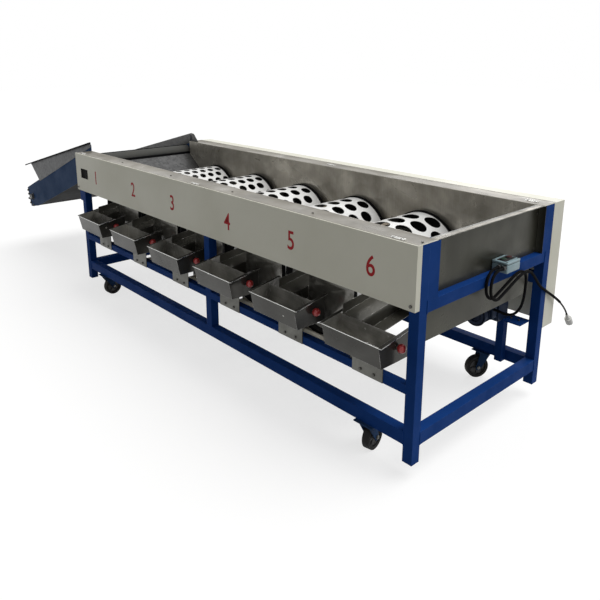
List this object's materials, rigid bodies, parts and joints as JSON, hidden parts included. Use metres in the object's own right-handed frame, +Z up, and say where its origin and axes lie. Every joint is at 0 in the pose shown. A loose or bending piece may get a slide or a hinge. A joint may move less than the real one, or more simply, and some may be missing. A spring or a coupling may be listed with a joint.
{
  "type": "fruit grading machine",
  "caption": "Free-standing fruit grader: inclined feed belt, chained perforated drums with growing holes, slides to open front trays, swivel casters.",
  "frame": {"origin": "middle of the footprint on the floor under the caster wheels, without the mains cord", "axes": "+X along the machine in the direction the fruit travels, +Y from the trays to the rear, +Z up"},
  "size_m": [4.6474, 1.4479, 1.1122],
  "materials": {
    "blue_paint": "gloss enamel",
    "navy_paint": "gloss enamel",
    "white_paint": "satin enamel",
    "stainless": "satin",
    "grey_sheet": "satin",
    "zinc": "zinc plated",
    "drum_white": "powder coat",
    "drum_black": "satin",
    "nylon": "machined",
    "cast_housing": "as cast",
    "belt_rubber": "matt",
    "dark_sheet": "matt",
    "motor_blue": "satin",
    "chain_steel": "oiled",
    "box_green": "matt",
    "black_plastic": "matt",
    "cable_black": "matt",
    "plug_white": "satin",
    "tyre_dark": "matt",
    "knob_red": "gloss",
    "button_green": "satin",
    "button_red": "satin"
  },
  "bodies": {
    "base": {"corner_legs": "blue_paint", "lower_rails": "blue_paint", "upper_rails": "blue_paint", "tray_rail": "blue_paint", "posts": "blue_paint", "front_panel": "white_paint", "rear_cover": "white_paint", "trough_walls": "stainless", "end_plates": "stainless", "deck_plates": "stainless", "infeed_plate": "stainless", "conveyor_brackets": "blue_paint", "slides": "stainless", "tray_1": "stainless", "tray_2": "stainless", "tray_3": "stainless", "tray_4": "stainless", "tray_5": "stainless", "tray_6": "stainless", "tray_brackets": "zinc", "tray_knobs": "knob_red", "frame_bolts": "zinc", "bearings": "cast_housing", "drum_saddles": "nylon", "conveyor_plates": "navy_paint", "conveyor_belt": "belt_rubber", "conveyor_pan": "dark_sheet", "hopper_flares": "grey_sheet", "gear_motor": "motor_blue", "motor_mount": "blue_paint", "drive_chain": "chain_steel", "switch_box": "box_green", "cable_glands": "black_plastic", "mains_cable": "cable_black", "motor_cable": "cable_black", "plug": "plug_white", "caster_plates": "navy_paint"},
    "drum_1": {"drum_shell_1": "drum_white", "drum_core_1": "drum_black"},
    "drum_2": {"drum_shell_2": "drum_white", "drum_core_2": "drum_black"},
    "drum_3": {"drum_shell_3": "drum_white", "drum_core_3": "drum_black"},
    "drum_4": {"drum_shell_4": "drum_white", "drum_core_4": "drum_black"},
    "drum_5": {"drum_shell_5": "drum_white", "drum_core_5": "drum_black"},
    "head_roller": {"head_roller": "zinc"},
    "tail_roller": {"tail_roller": "zinc"},
    "drive_sprocket": {"drive_sprocket": "chain_steel"},
    "caster_fork_1": {"caster_fork_1": "navy_paint"},
    "caster_wheel_1": {"caster_wheel_1": "tyre_dark"},
    "caster_fork_2": {"caster_fork_2": "navy_paint"},
    "caster_wheel_2": {"caster_wheel_2": "tyre_dark"},
    "caster_fork_3": {"caster_fork_3": "navy_paint"},
    "caster_wheel_3": {"caster_wheel_3": "tyre_dark"},
    "caster_fork_4": {"caster_fork_4": "navy_paint"},
    "caster_wheel_4": {"caster_wheel_4": "tyre_dark"},
    "start_button": {"start_button": "button_green"},
    "stop_button": {"stop_button": "button_red"}
  },
  "joints": [
    {"name": "drum_1_turn", "type": "hinge", "parent": "base", "child": "drum_1", "pos_m": [-0.42334, 0, 0.6543], "axis": [0, 1, 0], "continuous": true},
    {"name": "drum_2_turn", "type": "hinge", "parent": "base", "child": "drum_2", "pos_m": [0.08166, 0, 0.6543], "axis": [0, 1, 0], "continuous": true},
    {"name": "drum_3_turn", "type": "hinge", "parent": "base", "child": "drum_3", "pos_m": [0.58666, 0, 0.6543], "axis": [0, 1, 0], "continuous": true},
    {"name": "drum_4_turn", "type": "hinge", "parent": "base", "child": "drum_4", "pos_m": [1.09166, 0, 0.6543], "axis": [0, 1, 0], "continuous": true},
    {"name": "drum_5_turn", "type": "hinge", "parent": "base", "child": "drum_5", "pos_m": [1.59666, 0, 0.6543], "axis": [0, 1, 0], "continuous": true},
    {"name": "head_roller_turn", "type": "hinge", "parent": "base", "child": "head_roller", "pos_m": [-0.91234, 0, 0.9593], "axis": [0, 1, 0], "continuous": true},
    {"name": "tail_roller_turn", "type": "hinge", "parent": "base", "child": "tail_roller", "pos_m": [-2.2013, 0, 0.47481], "axis": [0, 1, 0], "continuous": true},
    {"name": "drive_turn", "type": "hinge", "parent": "base", "child": "drive_sprocket", "pos_m": [2.07766, 0.4455, 0.4843], "axis": [0, 1, 0], "continuous": true},
    {"name": "caster_1_swivel", "type": "hinge", "parent": "base", "child": "caster_fork_1", "pos_m": [2.01266, -0.4975, 0.151], "axis": [0, 0, 1], "continuous": true},
    {"name": "caster_1_roll", "type": "hinge", "parent": "caster_fork_1", "child": "caster_wheel_1", "pos_m": [2.00571, -0.45811, 0.0625], "axis": [0.9848, 0.1736, 0], "continuous": true},
    {"name": "caster_2_swivel", "type": "hinge", "parent": "base", "child": "caster_fork_2", "pos_m": [1.97266, 0.5115, 0.151], "axis": [0, 0, 1], "continuous": true},
    {"name": "caster_2_roll", "type": "hinge", "parent": "caster_fork_2", "child": "caster_wheel_2", "pos_m": [1.95266, 0.47686, 0.0625], "axis": [-0.866, 0.5, 0], "continuous": true},
    {"name": "caster_3_swivel", "type": "hinge", "parent": "base", "child": "caster_fork_3", "pos_m": [-0.58534, -0.4975, 0.151], "axis": [0, 0, 1], "continuous": true},
    {"name": "caster_3_roll", "type": "hinge", "parent": "caster_fork_3", "child": "caster_wheel_3", "pos_m": [-0.58883, -0.45765, 0.0625], "axis": [0.9962, 0.0872, 0], "continuous": true},
    {"name": "caster_4_swivel", "type": "hinge", "parent": "base", "child": "caster_fork_4", "pos_m": [-0.58534, 0.5115, 0.151], "axis": [0, 0, 1], "continuous": true},
    {"name": "caster_4_roll", "type": "hinge", "parent": "caster_fork_4", "child": "caster_wheel_4", "pos_m": [-0.56534, 0.54614, 0.0625], "axis": [0.866, -0.5, 0], "continuous": true},
    {"name": "start_press", "type": "slide", "parent": "base", "child": "start_button", "axis": [0, 0, -1], "range_m": [0, 0.003], "stiffness_N_per_m": 800, "springref_m": -0.003},
    {"name": "stop_press", "type": "slide", "parent": "base", "child": "stop_button", "axis": [0, 0, -1], "range_m": [0, 0.003], "stiffness_N_per_m": 800, "springref_m": -0.003}
  ],
  "couplings": [
    {"joint": "drum_2_turn", "follows": "drum_1_turn", "ratio": 1},
    {"joint": "drum_3_turn", "follows": "drum_1_turn", "ratio": 1},
    {"joint": "drum_4_turn", "follows": "drum_1_turn", "ratio": 1},
    {"joint": "drum_5_turn", "follows": "drum_1_turn", "ratio": 1},
    {"joint": "head_roller_turn", "follows": "drum_1_turn", "ratio": 1.5263},
    {"joint": "tail_roller_turn", "follows": "drum_1_turn", "ratio": 1.5263},
    {"joint": "drive_turn", "follows": "drum_1_turn", "ratio": 1.5263}
  ]
}
